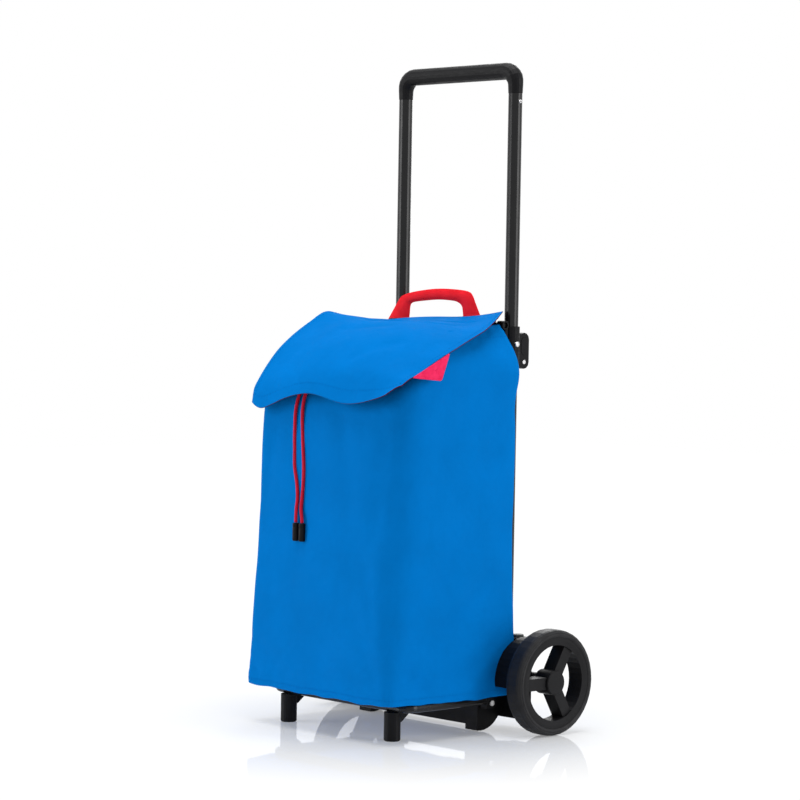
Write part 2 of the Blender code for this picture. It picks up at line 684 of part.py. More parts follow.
def bag_body():
    """An open-topped shell of fabric: the outside goes up, and the inside comes down."""
    bm = bmesh.new()
    rings = []
    for z, half_width, front, corner in bag_sections():
        ring = section_ring(half_width, front, BAG_BACK_Y, corner)
        rings.append([bm.verts.new((x, y, z)) for x, y in ring])
    wall = BAG_WALL
    for z, half_width, front, corner in reversed(bag_sections()):
        ring = section_ring(half_width - wall, front + wall, BAG_BACK_Y - wall, corner - wall)
        level = z + wall if z < 0.06 else z
        rings.append([bm.verts.new((x, y, level)) for x, y in ring])
    bridge(bm, rings)
    return from_bmesh("bag_body", bm, BAG_BLUE)


def bar_tunnel():
    """The sewn fabric tunnel along the bag's top back edge, with the hanger bar through it."""
    profile = [(0, 0.0066), (0.196, 0.0066), (0.196, BAR_RADIUS + 0.0006), (0, BAR_RADIUS + 0.0006)]
    start = (-0.098, BAR_Y, BAR_Z)
    return turned("bar_tunnel", profile, (1, 0, 0), start, 14, BAG_BLUE)


def flap_stations():
    """(distance forward of the seam, half width, height at the left, middle and right)."""
    return [
        (0.000, 0.1140, 0.5862, FLAP_SEAM_Z, 0.5915),
        (0.018, 0.1260, 0.5840, 0.5885, 0.5885),
        (0.040, 0.1400, 0.5840, 0.5900, 0.5810),
        (0.075, 0.1520, 0.5850, 0.5900, 0.5660),
        (0.110, 0.1580, 0.5830, 0.5860, 0.5540),
        (0.150, 0.1620, 0.5630, 0.5740, 0.5370),
        (0.183, 0.1645, 0.5350, 0.5530, 0.5220),
        (0.209, 0.1650, 0.5090, 0.5330, 0.5110),
        (0.229, 0.1645, 0.4840, 0.5140, 0.5040),
        (0.239, 0.1630, 0.4740, 0.4930, 0.5000),
        (FLAP_SEAM_Y - FLAP_FRONT_Y, 0.1610, 0.4620, HEM_Z, 0.4950),
    ]


# How far across the flap each column of points is, and how high its front hem hangs there.
FLAP_COLUMNS = {
    -1.0: 0.4620,
    -0.87: 0.4530,
    -0.65: 0.4650,
    -0.35: 0.4760,
    0.0: 0.4710,
    0.27: 0.4660,
    0.52: 0.4680,
    0.76: 0.4790,
    1.0: 0.4950,
}


def flap_point(station, across):
    """A point of the flap's upper face; the last station follows the wavy hem."""
    forward, half_width, left, middle, right = station
    edge = left if across < 0 else right
    z = middle + (edge - middle) * across**2
    if middle == HEM_Z:
        z = FLAP_COLUMNS[across]
    return Vector((across * half_width, FLAP_SEAM_Y - forward, z))


def bag_flap():
    """The lid: a sheet from the back seam over the mouth and down the bag's front."""
    columns = list(FLAP_COLUMNS)
    middle = columns.index(0.0)
    top = [[flap_point(station, across) for across in columns] for station in flap_stations()]
    bm = bmesh.new()
    upper = [[bm.verts.new(p) for p in row] for row in top]
    lower = []
    for k, row in enumerate(top):
        following = top[min(k + 1, len(top) - 1)]
        previous = top[max(k - 1, 0)]
        along = (following[middle] - previous[middle]).normalized()
        inward = along.cross(Vector((1, 0, 0))) * FLAP_WALL
        if inward.z > 0:
            inward = -inward
        lower.append([bm.verts.new(p + inward) for p in row])
    for k in range(len(top) - 1):
        for i in range(len(columns) - 1):
            bm.faces.new((upper[k][i], upper[k][i + 1], upper[k + 1][i + 1], upper[k + 1][i]))
            bm.faces.new((lower[k][i], lower[k + 1][i], lower[k + 1][i + 1], lower[k][i + 1]))
    for k in range(len(top) - 1):
        for i in (0, len(columns) - 1):
            bm.faces.new((upper[k][i], upper[k + 1][i], lower[k + 1][i], lower[k][i]))
    for k in (0, len(top) - 1):
        for i in range(len(columns) - 1):
            bm.faces.new((upper[k][i], upper[k][i + 1], lower[k][i + 1], lower[k][i]))
    return from_bmesh("bag_flap", bm, BAG_BLUE)


def label_tab():
    """A plain triangular fabric tab that hangs from the flap's right-hand edge."""
    corners = [(TUBE_Y - 0.241, 0.5020), (TUBE_Y - 0.172, 0.5330), (TUBE_Y - 0.186, 0.5000)]
    tab = plate("label_tab", corners, 0.1670, 0.1680)
    return combine("label_tab", [tab], finish=TAB_PINK)


def loop_outline(half, top_z):
    """The upper half of an arch, from its left foot to its right foot."""
    bend = 0.014
    middle = (half - bend, top_z - bend)
    right = [(half, LOOP_FOOT_Z)] + arc(middle, bend, 0, 90, 4)
    return [(-x, z) for x, z in right] + [(x, z) for x, z in reversed(right)]


def carry_loop():
    """The webbing loop behind the flap's seam: a broad band that stands on two feet."""
    outside = loop_outline(0.0890, 0.6280)
    inside = loop_outline(0.0570, 0.6110)
    bm = bmesh.new()
    rings = []
    for y in (LOOP_Y - LOOP_WALL / 2, LOOP_Y + LOOP_WALL / 2):
        outline = outside + list(reversed(inside))
        rings.append([bm.verts.new((LOOP_X + x, y, z)) for x, z in outline])
    bridge(bm, rings)
    return from_bmesh("carry_loop", bm, WEBBING_RED)


def smooth_route(route, spacing):
    """Points at even steps along a smooth curve through the route's own points."""
    ends = [2 * route[0] - route[1], *route, 2 * route[-1] - route[-2]]
    fine = []
    for k in range(1, len(ends) - 2):
        a, b, c, d = ends[k - 1 : k + 3]
        for step in range(20):
            t = step / 20
            fine.append(
                0.5 * (2 * b + (c - a) * t + (2 * a - 5 * b + 4 * c - d) * t**2
                       + (3 * b - a - 3 * c + d) * t**3)
            )
    fine.append(route[-1])
    length = sum((q - p).length for p, q in zip(fine, fine[1:]))
    count = round(length / spacing)
    points = [fine[0]]
    walked = 0.0
    for p, q in zip(fine, fine[1:]):
        walked += (q - p).length
        if walked >= length * len(points) / count and len(points) < count:
            points.append(q)
    return points + [fine[-1]]


CORD_ROUTES = {
    "left": [
        (-0.0580, TUBE_Y - 0.2355, 0.4900),
        (-0.0650, TUBE_Y - 0.2410, 0.4760),
        (-0.0690, TUBE_Y - 0.2450, 0.4510),
        (-0.0687, TUBE_Y - 0.2465, 0.4170),
        (-0.0666, TUBE_Y - 0.2478, 0.3945),
        (-0.0647, TUBE_Y - 0.2490, 0.3720),
        (-0.0578, TUBE_Y - 0.2506, 0.3496),
        (-0.0541, TUBE_Y - 0.2520, 0.3300),
        (-0.0541, TUBE_Y - 0.2538, 0.3130),
        (-0.0523, TUBE_Y - 0.2560, 0.2990),
        (-0.0520, TUBE_Y - 0.2562, 0.2935),
    ],
    "right": [
        (-0.0480, TUBE_Y - 0.2355, 0.4900),
        (-0.0525, TUBE_Y - 0.2410, 0.4760),
        (-0.0542, TUBE_Y - 0.2450, 0.4510),
        (-0.0514, TUBE_Y - 0.2465, 0.4170),
        (-0.0482, TUBE_Y - 0.2478, 0.3945),
        (-0.0452, TUBE_Y - 0.2490, 0.3720),
        (-0.0438, TUBE_Y - 0.2506, 0.3496),
        (-0.0440, TUBE_Y - 0.2520, 0.3300),
        (-0.0438, TUBE_Y - 0.2538, 0.3130),
        (-0.0388, TUBE_Y - 0.2562, 0.2990),
        (-0.0384, TUBE_Y - 0.2564, 0.2935),
    ],
}


def drawcord(side):
    """One free end of the drawcord, hanging from its eyelet to its cord end."""
    points = smooth_route([Vector(p) for p in CORD_ROUTES[side]], 0.0105)
    curve = bpy.data.curves.new(f"drawcord_{side}", "CURVE")
    curve.dimensions = "3D"
    curve.bevel_depth = CORD_RADIUS
    curve.bevel_resolution = 2
    curve.use_fill_caps = True
    line = curve.splines.new("POLY")
    line.points.add(len(points) - 1)
    for target, point in zip(line.points, points):
        target.co = (*point, 1.0)
    return link(f"drawcord_{side}", curve, CORD_RED)


def cord_end(side):
    """The black barrel clamped on the end of a drawcord."""
    x, y, z = CORD_ROUTES[side][-1]
    profile = [(0, 0), (0, 0.0043), (0.0010, 0.0047), (0.0245, 0.0047), (0.0255, 0.0038), (0.0255, 0)]
    return turned(f"cord_end_{side}", profile, (0, 0, -1), (x, y, z - 0.0007), 16)


def build_wheels():
    for side, sign in SIDES.items():
        spin = pivot(f"wheel_axis_{side}", (sign * (WHEEL_FACE_X - WHEEL_WIDTH / 2), AXLE_Y, AXLE_Z))
        hold(spin, tyre(side, sign), wheel_rim(side, sign), hub_cap(side, sign))


def build_handle():
    fold = pivot("handle_fold_axis", (0, PIVOT_Y, PIVOT_Z))
    hold(fold, grip())
    for side, sign in SIDES.items():
        hold(fold, upper_tube(side, sign), grip_rivet(side, sign), collar_rivet(side, sign))
        hold(fold, hinge_upper(side, sign), lock_button(side, sign))


def build_frame():
    hanger_bar()
    rear_crossbeam()
    axle()
    for side, sign in SIDES.items():
        lower_tube(side, sign)
        hinge_lower(side, sign)
        hinge_pin(side, sign)
        rear_bracket(side, sign)
        bracket_cap(side, sign)
        axle_clip(side, sign)
        wheel_spacer(side, sign)
        platform_pin(side, sign)


def build_platform():
    fold = pivot("platform_fold_axis", (0, HINGE_Y, HINGE_Z))
    hold(fold, platform_tube(), base_board())
    for side, sign in SIDES.items():
        hold(fold, platform_lug(side, sign), foot(side, sign))


def build_bag():
    bag_body()
    bar_tunnel()
    carry_loop()
    lift = pivot("flap_axis", (0, FLAP_SEAM_Y, FLAP_SEAM_Z))
    hold(lift, bag_flap(), label_tab())
    for side in SIDES:
        drawcord(side)
        cord_end(side)


clear_scene()
build_wheels()
build_handle()
build_frame()
build_platform()
build_bag()
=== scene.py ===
import json
from math import cos, exp, pi, radians, sin

import bmesh
import bpy
from mathutils import Matrix, Vector, noise


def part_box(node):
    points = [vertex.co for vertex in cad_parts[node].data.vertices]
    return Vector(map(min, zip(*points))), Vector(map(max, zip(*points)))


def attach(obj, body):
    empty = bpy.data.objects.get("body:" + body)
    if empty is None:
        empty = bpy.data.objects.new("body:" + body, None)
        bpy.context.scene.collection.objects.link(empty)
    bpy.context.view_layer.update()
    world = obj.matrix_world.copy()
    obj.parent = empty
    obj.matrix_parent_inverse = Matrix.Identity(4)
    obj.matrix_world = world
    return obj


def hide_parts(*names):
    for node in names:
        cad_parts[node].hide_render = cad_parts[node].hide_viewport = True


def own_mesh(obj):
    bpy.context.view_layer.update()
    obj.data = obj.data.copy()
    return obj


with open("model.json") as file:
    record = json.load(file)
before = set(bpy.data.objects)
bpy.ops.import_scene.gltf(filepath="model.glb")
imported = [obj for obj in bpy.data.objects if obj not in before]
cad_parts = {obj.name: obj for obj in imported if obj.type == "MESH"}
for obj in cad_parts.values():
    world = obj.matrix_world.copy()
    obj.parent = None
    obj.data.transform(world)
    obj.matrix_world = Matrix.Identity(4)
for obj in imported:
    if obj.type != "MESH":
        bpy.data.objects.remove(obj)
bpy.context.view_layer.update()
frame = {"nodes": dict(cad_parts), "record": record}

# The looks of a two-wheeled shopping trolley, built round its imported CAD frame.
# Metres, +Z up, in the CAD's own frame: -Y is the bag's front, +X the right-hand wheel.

NODES = frame["nodes"]
TUBE_Y = sum(point.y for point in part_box("upper_tube_right")) / 2
BACK_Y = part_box("bag_body")[1].y
FLAP_SEAM_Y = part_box("bag_flap")[1].y

# Camera
CAMERA_AT = Vector((2.9257, -2.7155, 0.6127))
CAMERA_TURN = radians(47.28)
CAMERA_TILT = radians(2.10)
CAMERA_ROLL = radians(0.97)
CAMERA_LENS = 125.08

# Floor: how far it runs, and how far from the origin it turns from glossy to plain white
FLOOR_HALF = 6.0
GLOSS_ENDS = (0.22, 0.62)

# Fabric
CLOTH = 0.0012
THIN_CLOTH = 0.0009
THREAD_PITCH = 0.0011
BAG_COLOUR = (0.0, 0.168, 0.545)
LINING_COLOUR = (0.085, 0.006, 0.020)
INSIDE_COLOUR = (0.020, 0.085, 0.240)
CORD_DIAMETER = 0.0048
STITCH_LENGTH = 0.0030
STITCH_GAP = 0.0016
STITCH_RADIUS = 0.00035

# The middle part of a noise pattern's values, which colours and gloss are spread over
NOISE_LOW, NOISE_HIGH = 0.3, 0.7


# Camera, light and floor


def make_camera():
    back = Vector(
        (sin(CAMERA_TURN) * cos(CAMERA_TILT), -cos(CAMERA_TURN) * cos(CAMERA_TILT), sin(CAMERA_TILT))
    )
    level = Vector((cos(CAMERA_TURN), sin(CAMERA_TURN), 0))
    upright = back.cross(level)
    right = cos(CAMERA_ROLL) * level + sin(CAMERA_ROLL) * upright
    up = cos(CAMERA_ROLL) * upright - sin(CAMERA_ROLL) * level
    data = bpy.data.cameras.new("camera")
    data.lens = CAMERA_LENS
    data.sensor_width = 36
    data.clip_end = 60
    camera = bpy.data.objects.new("camera", data)
    turn = Matrix((right, up, back)).transposed().to_4x4()
    camera.matrix_world = Matrix.Translation(CAMERA_AT) @ turn
    bpy.context.scene.collection.objects.link(camera)
    bpy.context.scene.camera = camera


def softbox(name, place, aim, size, power):
    data = bpy.data.lights.new(name, "AREA")
    data.shape = "RECTANGLE"
    data.size, data.size_y = size
    data.energy = power
    light = bpy.data.objects.new(name, data)
    light.location = place
    light.rotation_euler = (Vector(aim) - Vector(place)).to_track_quat("-Z", "Y").to_euler()
    light.visible_camera = False
    bpy.context.scene.collection.objects.link(light)


def make_light():
    """A white studio: the camera and reflections see white all round, and the fill light is dimmer."""
    world = bpy.data.worlds.new("studio")
    world.use_nodes = True
    tree = world.node_tree
    fill = tree.nodes["Background"]
    fill.inputs["Color"].default_value = (0.96, 0.98, 1.0, 1)
    fill.inputs["Strength"].default_value = 0.30
    seen = tree.nodes.new("ShaderNodeBackground")
    seen.inputs["Color"].default_value = (1, 1, 1, 1)
    path = tree.nodes.new("ShaderNodeLightPath")
    mix = tree.nodes.new("ShaderNodeMixShader")
    mirror_too = tree.nodes.new("ShaderNodeMath")
    mirror_too.operation = "MAXIMUM"
    tree.links.new(path.outputs["Is Camera Ray"], mirror_too.inputs[0])
    tree.links.new(path.outputs["Is Glossy Ray"], mirror_too.inputs[1])
    tree.links.new(mirror_too.outputs[0], mix.inputs["Fac"])
    tree.links.new(fill.outputs[0], mix.inputs[1])
    tree.links.new(seen.outputs[0], mix.inputs[2])
    tree.links.new(mix.outputs[0], tree.nodes["World Output"].inputs["Surface"])
    bpy.context.scene.world = world
    bpy.context.scene.view_settings.view_transform = "Standard"
    softbox("overhead_light", (0.1, -0.2, 2.6), (0, 0, 0.4), (2.0, 2.0), 50)
    softbox("left_light", (-2.0, -2.6, 1.3), (0, 0, 0.4), (1.2, 2.2), 45)
    softbox("right_light", (2.7, 1.2, 1.3), (0, 0, 0.4), (1.2, 2.2), 40)
    softbox("back_light", (-1.6, 2.2, 1.6), (0, 0, 0.5), (1.4, 1.8), 22)


def make_floor():
    mesh = bpy.data.meshes.new("floor")
    signs = ((-1, -1), (1, -1), (1, 1), (-1, 1))
    corners = [(FLOOR_HALF * x, FLOOR_HALF * y, 0) for x, y in signs]
    mesh.from_pydata(corners, [], [(0, 1, 2, 3)])
    floor = bpy.data.objects.new("floor", mesh)
    bpy.context.scene.collection.objects.link(floor)
    mesh.materials.append(floor_white())


def floor_white():
    """Pale glossy acrylic that brightens to plain white away from the object."""
    floor = Finish("floor_white", 0.5)
    floor.colour((0.93, 0.94, 0.955)).set(Specular_IOR_Level=0.0)
    gloss = floor.node("ShaderNodeBsdfGlossy", {"Roughness": 0.035, "Color": (0.97, 0.98, 1.0, 1)})
    shine = floor.node("ShaderNodeMixShader", {0: 0.36, 1: floor.shader.outputs[0], 2: gloss.outputs[0]})
    glow = floor.node("ShaderNodeEmission", {"Strength": 1.05})
    away = floor.node("ShaderNodeVectorMath", {0: floor.place}, operation="LENGTH")
    inputs = {"Value": away.outputs["Value"], "To Min": 0.20, "To Max": 1.0}
    inputs["From Min"], inputs["From Max"] = GLOSS_ENDS
    share = floor.node("ShaderNodeMapRange", inputs, interpolation_type="SMOOTHSTEP")
    mixed = {0: share.outputs[0], 1: shine.outputs[0], 2: glow.outputs[0]}
    sweep = floor.node("ShaderNodeMixShader", mixed)
    output = floor.tree.nodes["Material Output"]
    floor.tree.links.new(sweep.outputs[0], output.inputs["Surface"])
    return floor.material


# Materials


class Finish:
    """One procedural material, whose patterns follow the piece's own coordinates in metres."""

    def __init__(self, name, roughness, metallic=0.0):
        self.material = bpy.data.materials.new(name)
        self.material.use_nodes = True
        self.tree = self.material.node_tree
        self.shader = self.tree.nodes["Principled BSDF"]
        self.shader.inputs["Roughness"].default_value = roughness
        self.shader.inputs["Metallic"].default_value = metallic
        self.place = self.tree.nodes.new("ShaderNodeTexCoord").outputs["Object"]

    def set(self, **values):
        for name, value in values.items():
            self.shader.inputs[name.replace("_", " ")].default_value = value
        return self

    def colour(self, colour):
        self.shader.inputs["Base Color"].default_value = (*colour, 1)
        return self

    def node(self, kind, inputs, **settings):
        made = self.tree.nodes.new(kind)
        for name, value in settings.items():
            setattr(made, name, value)
        for name, value in inputs.items():
            if isinstance(value, bpy.types.NodeSocket):
                self.tree.links.new(value, made.inputs[name])
            else:
                made.inputs[name].default_value = value
        return made

    def maths(self, operation, first, second=0.0):
        return self.node("ShaderNodeMath", {0: first, 1: second}, operation=operation).outputs[0]

    def grain(self, size, detail=3.0, stretch=(1, 1, 1)):
        """Noise whose spots are about this size, as a value from 0 to 1."""
        place = self.node("ShaderNodeVectorMath", {0: self.place, 1: stretch}, operation="MULTIPLY")
        inputs = {"Vector": place.outputs[0], "Scale": 1 / size, "Detail": detail}
        return self.node("ShaderNodeTexNoise", inputs).outputs["Fac"]

    def ribs(self, direction, pitch):
        """A sine wave along a direction, from -1 to 1."""
        along = self.node("ShaderNodeVectorMath", {0: self.place, 1: direction}, operation="DOT_PRODUCT")
        turns = self.maths("MULTIPLY", along.outputs["Value"], 2 * pi / pitch)
        return self.maths("SINE", turns)

    def shades(self, value, dark, light):
        """Colours the piece from dark to light as a noise value rises."""
        ramp = self.tree.nodes.new("ShaderNodeValToRGB")
        self.tree.links.new(value, ramp.inputs[0])
        ends = ramp.color_ramp.elements
        ends[0].position, ends[1].position = NOISE_LOW, NOISE_HIGH
        ends[0].color, ends[1].color = (*dark, 1), (*light, 1)
        self.tree.links.new(ramp.outputs[0], self.shader.inputs["Base Color"])
        return self

    def gloss(self, value, smooth, rough):
        """Goes from the smooth roughness to the rough one as a noise value rises."""
        inputs = {"Value": value, "To Min": smooth, "To Max": rough}
        inputs["From Min"], inputs["From Max"] = NOISE_LOW, NOISE_HIGH
        spread = self.node("ShaderNodeMapRange", inputs)
        self.tree.links.new(spread.outputs[0], self.shader.inputs["Roughness"])
        return self

    def relief(self, *layers):
        """Bumps, each a (height, depth in metres) pair, one over the other."""
        normal = None
        for height, depth in layers:
            inputs = {"Height": height, "Distance": depth, "Strength": 1.0}
            bump = self.node("ShaderNodeBump", inputs)
            if normal:
                self.tree.links.new(normal, bump.inputs["Normal"])
            normal = bump.outputs[0]
        self.tree.links.new(normal, self.shader.inputs["Normal"])
        return self


def scaled(colour, factor):
    return tuple(min(part * factor, 1.0) for part in colour)


def woven(name, colour, across, up, roughness=0.78):
    """Plain-weave cloth: threads both ways, soft mottling, painted shade in the weave's low points and a
    faint crumple.
    """
    mottle = 0.05
    cloth = Finish(name, roughness)
    warp = cloth.ribs(across, THREAD_PITCH)
    weft = cloth.ribs(up, THREAD_PITCH)
    weave = cloth.maths("MULTIPLY", warp, weft)
    patches = cloth.grain(0.07, 4)
    # Painted shade: the weave's height darkens the colour a little in its low points.
    painted_weave_shade = cloth.maths("MULTIPLY", weave, 0.05)
    shade = cloth.maths("ADD", patches, painted_weave_shade)
    cloth.shades(shade, scaled(colour, 1 - mottle), scaled(colour, 1 + mottle))
    cloth.gloss(cloth.grain(0.03), roughness - 0.06, roughness + 0.06)
    cloth.relief((weave, 0.00005), (cloth.grain(0.020, 2), 0.0014))
    cloth.set(Specular_IOR_Level=0.015, Sheen_Weight=0.08, Sheen_Roughness=0.5)
    cloth.set(Sheen_Tint=(*scaled(colour, 1.4), 1))
    return cloth.material


def ribbed_webbing():
    """Nylon webbing with ribs across it, and painted shade in the hollows between them."""
    strap = Finish("webbing_red", 0.62)
    ribs = strap.ribs((0, 0, 1), 0.0016)
    yarn = strap.ribs((1, 0, 0), 0.0011)
    weave = strap.maths("MULTIPLY", ribs, yarn)
    # Painted shade: the colour darkens with the ribs' relief, so the hollows between them are darker.
    shade = strap.maths("ADD", strap.grain(0.02, 3), strap.maths("MULTIPLY", weave, 0.16))
    strap.shades(shade, (0.86, 0.006, 0.016), (1.0, 0.012, 0.026))
    strap.relief((weave, 0.00013), (strap.grain(0.012), 0.0005))
    strap.set(Specular_IOR_Level=0.12)
    return strap.material


def braided_cord():
    """A round braid: two sets of yarns that cross, red, with painted shade in the hollows between them."""
    braid = Finish("cord_red", 0.66)
    rising = braid.ribs((0.5, 0.5, 1), 0.0026)
    falling = braid.ribs((-0.5, -0.5, 1), 0.0026)
    cross = braid.maths("MULTIPLY", rising, falling)
    # Painted shade: the colour follows the braid's relief, so its hollows are darker.
    shade = braid.maths("ADD", braid.maths("MULTIPLY", cross, 0.22), 0.5)
    braid.shades(shade, (0.38, 0.004, 0.016), (0.80, 0.012, 0.045))
    braid.relief((cross, 0.00022))
    braid.set(Specular_IOR_Level=0.12)
    return braid.material


def label_cloth():
    """Fine satin weave for the label tab."""
    tab = Finish("tab_pink", 0.55)
    weave = tab.maths("MULTIPLY", tab.ribs((0, 1, 0), 0.0007), tab.ribs((0, 0, 1), 0.0007))
    tab.shades(tab.grain(0.01), (0.80, 0.012, 0.090), (0.95, 0.025, 0.130))
    tab.relief((weave, 0.00006))
    tab.set(Specular_IOR_Level=0.1)
    return tab.material


def painted(name, colour, roughness):
    """Powder coat: orange-peel relief, with gloss that changes a little from place to place."""
    coat = Finish(name, roughness)
    coat.shades(coat.grain(0.04), scaled(colour, 0.85), scaled(colour, 1.2))
    coat.gloss(coat.grain(0.025), roughness - 0.05, roughness + 0.07)
    coat.relief((coat.grain(0.0012, 2), 0.00005))
    coat.set(Specular_IOR_Level=0.24)
    return coat.material


def moulded(name, colour, roughness):
    """Moulded plastic: fine spark-eroded grain and faint scuffs."""
    plastic = Finish(name, roughness)
    plastic.shades(plastic.grain(0.03, 5), scaled(colour, 0.85), scaled(colour, 1.25))
    scuffs = plastic.grain(0.012, 6, (1, 1, 4))
    plastic.gloss(scuffs, roughness - 0.07, roughness + 0.10)
    plastic.relief((plastic.grain(0.0009, 2), 0.00006))
    plastic.set(Specular_IOR_Level=0.11)
    return plastic.material


def tyre_rubber():
    """Rubber with a faint bloom, and a fine moulded line round each sidewall."""
    rubber = Finish("tyre_rubber", 0.55)
    dust = rubber.grain(0.015, 6)
    low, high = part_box("tyre_right")
    middle = (low + high) / 2
    line_radius = (high.z - low.z) / 2 - 0.0052
    line_half_width = 0.0008
    flat = rubber.node("ShaderNodeVectorMath", {0: rubber.place, 1: (0, 1, 1)}, operation="MULTIPLY")
    ends = {0: flat.outputs[0], 1: (0, middle.y, middle.z)}
    radius = rubber.node("ShaderNodeVectorMath", ends, operation="DISTANCE").outputs["Value"]
    off_line = rubber.maths("ABSOLUTE", rubber.maths("SUBTRACT", radius, line_radius))
    line = rubber.maths("MINIMUM", rubber.maths("DIVIDE", off_line, line_half_width), 1.0)
    rubber.shades(dust, (0.0075, 0.0075, 0.0085), (0.0140, 0.0140, 0.0155))
    rubber.gloss(rubber.grain(0.02, 4), 0.42, 0.62)
    rubber.relief((rubber.grain(0.0010, 3), 0.00007), (line, 0.0006))
    rubber.set(Specular_IOR_Level=0.2)
    return rubber.material


def plated_steel():
    """Zinc plating with a faint lengthwise brushing."""
    steel = Finish("bright_steel", 0.25, 1.0)
    brushed = steel.grain(0.002, 4, (6, 1, 1))
    steel.shades(brushed, (0.50, 0.50, 0.51), (0.72, 0.72, 0.72))
    steel.gloss(brushed, 0.18, 0.36)
    steel.relief((brushed, 0.00002))
    return steel.material



def finish_frame(finishes):
    """Gives every CAD node that stays its procedural material, by its packed slot."""
    slots = {part["node"]: part["material_slot"] for part in frame["record"]["subparts"]}
    for name, node in NODES.items():
        node.data.materials.clear()
        node.data.materials.append(finishes[slots[name]])


def make_finishes():
    """The material of each packed slot, and of the cloth and thread that belong to no slot."""
    across, up, slope = (1, 0, 0), (0, 0, 1), (0, 0.8, 0.6)
    round_the_bag = (1, 1, 0)
    return {
        "black_paint": painted("black_paint", (0.0065, 0.0065, 0.0070), 0.22),
        "black_plastic": moulded("black_plastic", (0.0040, 0.0040, 0.0048), 0.42),
        "rim_plastic": moulded("rim_plastic", (0.0095, 0.0095, 0.0105), 0.46),
        "tyre_rubber": tyre_rubber(),
        "cap_grey": moulded("cap_grey", (0.085, 0.092, 0.088), 0.42),
        "bright_steel": plated_steel(),
        "bag_blue": woven("bag_blue", BAG_COLOUR, round_the_bag, up),
        "webbing_red": ribbed_webbing(),
        "cord_red": braided_cord(),
        "tab_pink": label_cloth(),
        "board_grey": moulded("board_grey", (0.085, 0.085, 0.09), 0.6),
        "flap_blue": woven("flap_blue", BAG_COLOUR, across, slope),
        "lining": woven("lining_maroon", LINING_COLOUR, across, slope, 0.7),
        "inside": woven("inside_coating", INSIDE_COLOUR, round_the_bag, up, 0.55),
        "thread": woven("thread_blue", scaled(BAG_COLOUR, 0.85), round_the_bag, up, 0.6),
        "red_thread": woven("thread_red", (0.42, 0.008, 0.02), round_the_bag, up, 0.6),
    }


# Meshes


def link(name, mesh, *materials):
    piece = bpy.data.objects.new(name, mesh)
    bpy.context.scene.collection.objects.link(piece)
    for material in materials:
        mesh.materials.append(material)
    return piece


def finished_mesh(name, bm):
    bmesh.ops.recalc_face_normals(bm, faces=bm.faces)
    mesh = bpy.data.meshes.new(name)
    bm.to_mesh(mesh)
    bm.free()
    mesh.shade_smooth()
    return mesh


def grid_mesh(name, rows, closed=False):
    """A mesh through rows of points; closed joins each row's end to its start."""
    bm = bmesh.new()
    lines = [[bm.verts.new(point) for point in row] for row in rows]
    for first, second in zip(lines, lines[1:]):
        count = len(first)
        for i in range(count if closed else count - 1):
            j = (i + 1) % count
            bm.faces.new((first[i], first[j], second[j], second[i]))
    return finished_mesh(name, bm)


def ring(centre, across, up, radius, sides):
    """Points round a circle in the plane of two directions."""
    turns = [2 * pi * i / sides for i in range(sides)]
    return [centre + (across * cos(turn) + up * sin(turn)) * radius for turn in turns]


def curve_through(points, at):
    """A point on a smooth curve through evenly numbered tuples, from 0 at the first of them."""
    last = len(points) - 1
    k = min(int(at), last - 1)
    t = at - k
    a, b, c, d = (points[min(max(k + step, 0), last)] for step in (-1, 0, 1, 2))
    return tuple(
        0.5 * (2 * q + (r - p) * t + (2 * p - 5 * q + 4 * r - s) * t**2 + (3 * q - p - 3 * r + s) * t**3)
        for p, q, r, s in zip(a, b, c, d)
    )


def solid_cloth(piece, thickness=CLOTH, offset=-1, lining=False):
    """Gives a sheet its thickness; a lining has the second material on its far side and edge."""
    wall = piece.modifiers.new("cloth", "SOLIDIFY")
    wall.thickness = thickness
    wall.offset = offset
    if lining:
        wall.material_offset = 1
        wall.material_offset_rim = 1


def ripple(place, size, depth):
    """Smooth random waves of about this size, up to this depth."""
    return noise.noise(Vector(place) / size) * depth


def crease(u, v, line, width, depth):
    """How deep a soft crease between two (u, v) points is at a place, fading at both its ends."""
    (u0, v0), (u1, v1) = line
    du, dv = u1 - u0, v1 - v0
    t = ((u - u0) * du + (v - v0) * dv) / (du * du + dv * dv)
    near = min(max(t, 0.0), 1.0)
    away = ((u - u0 - near * du) ** 2 + (v - v0 - near * dv) ** 2) / width**2
    return depth * exp(-away) * (1 - (2 * near - 1) ** 4)


# Bag

BACK_BEND = 0.008
LEFT_BEND = 0.015

# (height, half width at the front, half width at the back, how far the front is from the back,
# radius of the front right corner) of the bag, from its base to its mouth.
BAG_SECTIONS = [
    (0.0555, 0.1505, 0.1500, 0.2400, 0.014),
    (0.0640, 0.1535, 0.1535, 0.2425, 0.015),
    (0.1500, 0.1525, 0.1525, 0.2385, 0.032),
    (0.2400, 0.1510, 0.1505, 0.2335, 0.042),
    (0.3500, 0.1500, 0.1490, 0.2280, 0.046),
    (0.4300, 0.1500, 0.1485, 0.2235, 0.042),
    (0.4700, 0.1510, 0.1490, 0.2185, 0.036),
    (0.5000, 0.1550, 0.1555, 0.2015, 0.028),
    (0.5180, 0.1560, 0.1550, 0.1820, 0.024),
    (0.5360, 0.1500, 0.1475, 0.1550, 0.020),
    (0.5520, 0.1360, 0.1320, 0.1270, 0.016),
    (0.5660, 0.1190, 0.1160, 0.1020, 0.012),
]
BAG_TOP = len(BAG_SECTIONS) - 1
BAG_ROWS = 110
BAG_AROUND = 176

# The mouth's back edge is lifted, and its cord channel is gathered above this section.
MOUTH_LIFT = 0.010
GATHERED_FROM = 9
GATHERS = 34
GATHER_DEPTH = 0.0012

# The hem waves up and down, and sags at the back right, below this section.
HEM_TO = 2
HEM_SAG = 0.004
HEM_HALF_WIDTH = 0.155
HEM_TOP_Z = 0.0745
HEM_EDGE = 0.0014
HEM_FOLD = 0.0010

# The height at which the belly ends and the shoulder starts
SHOULDER_Z = 0.50

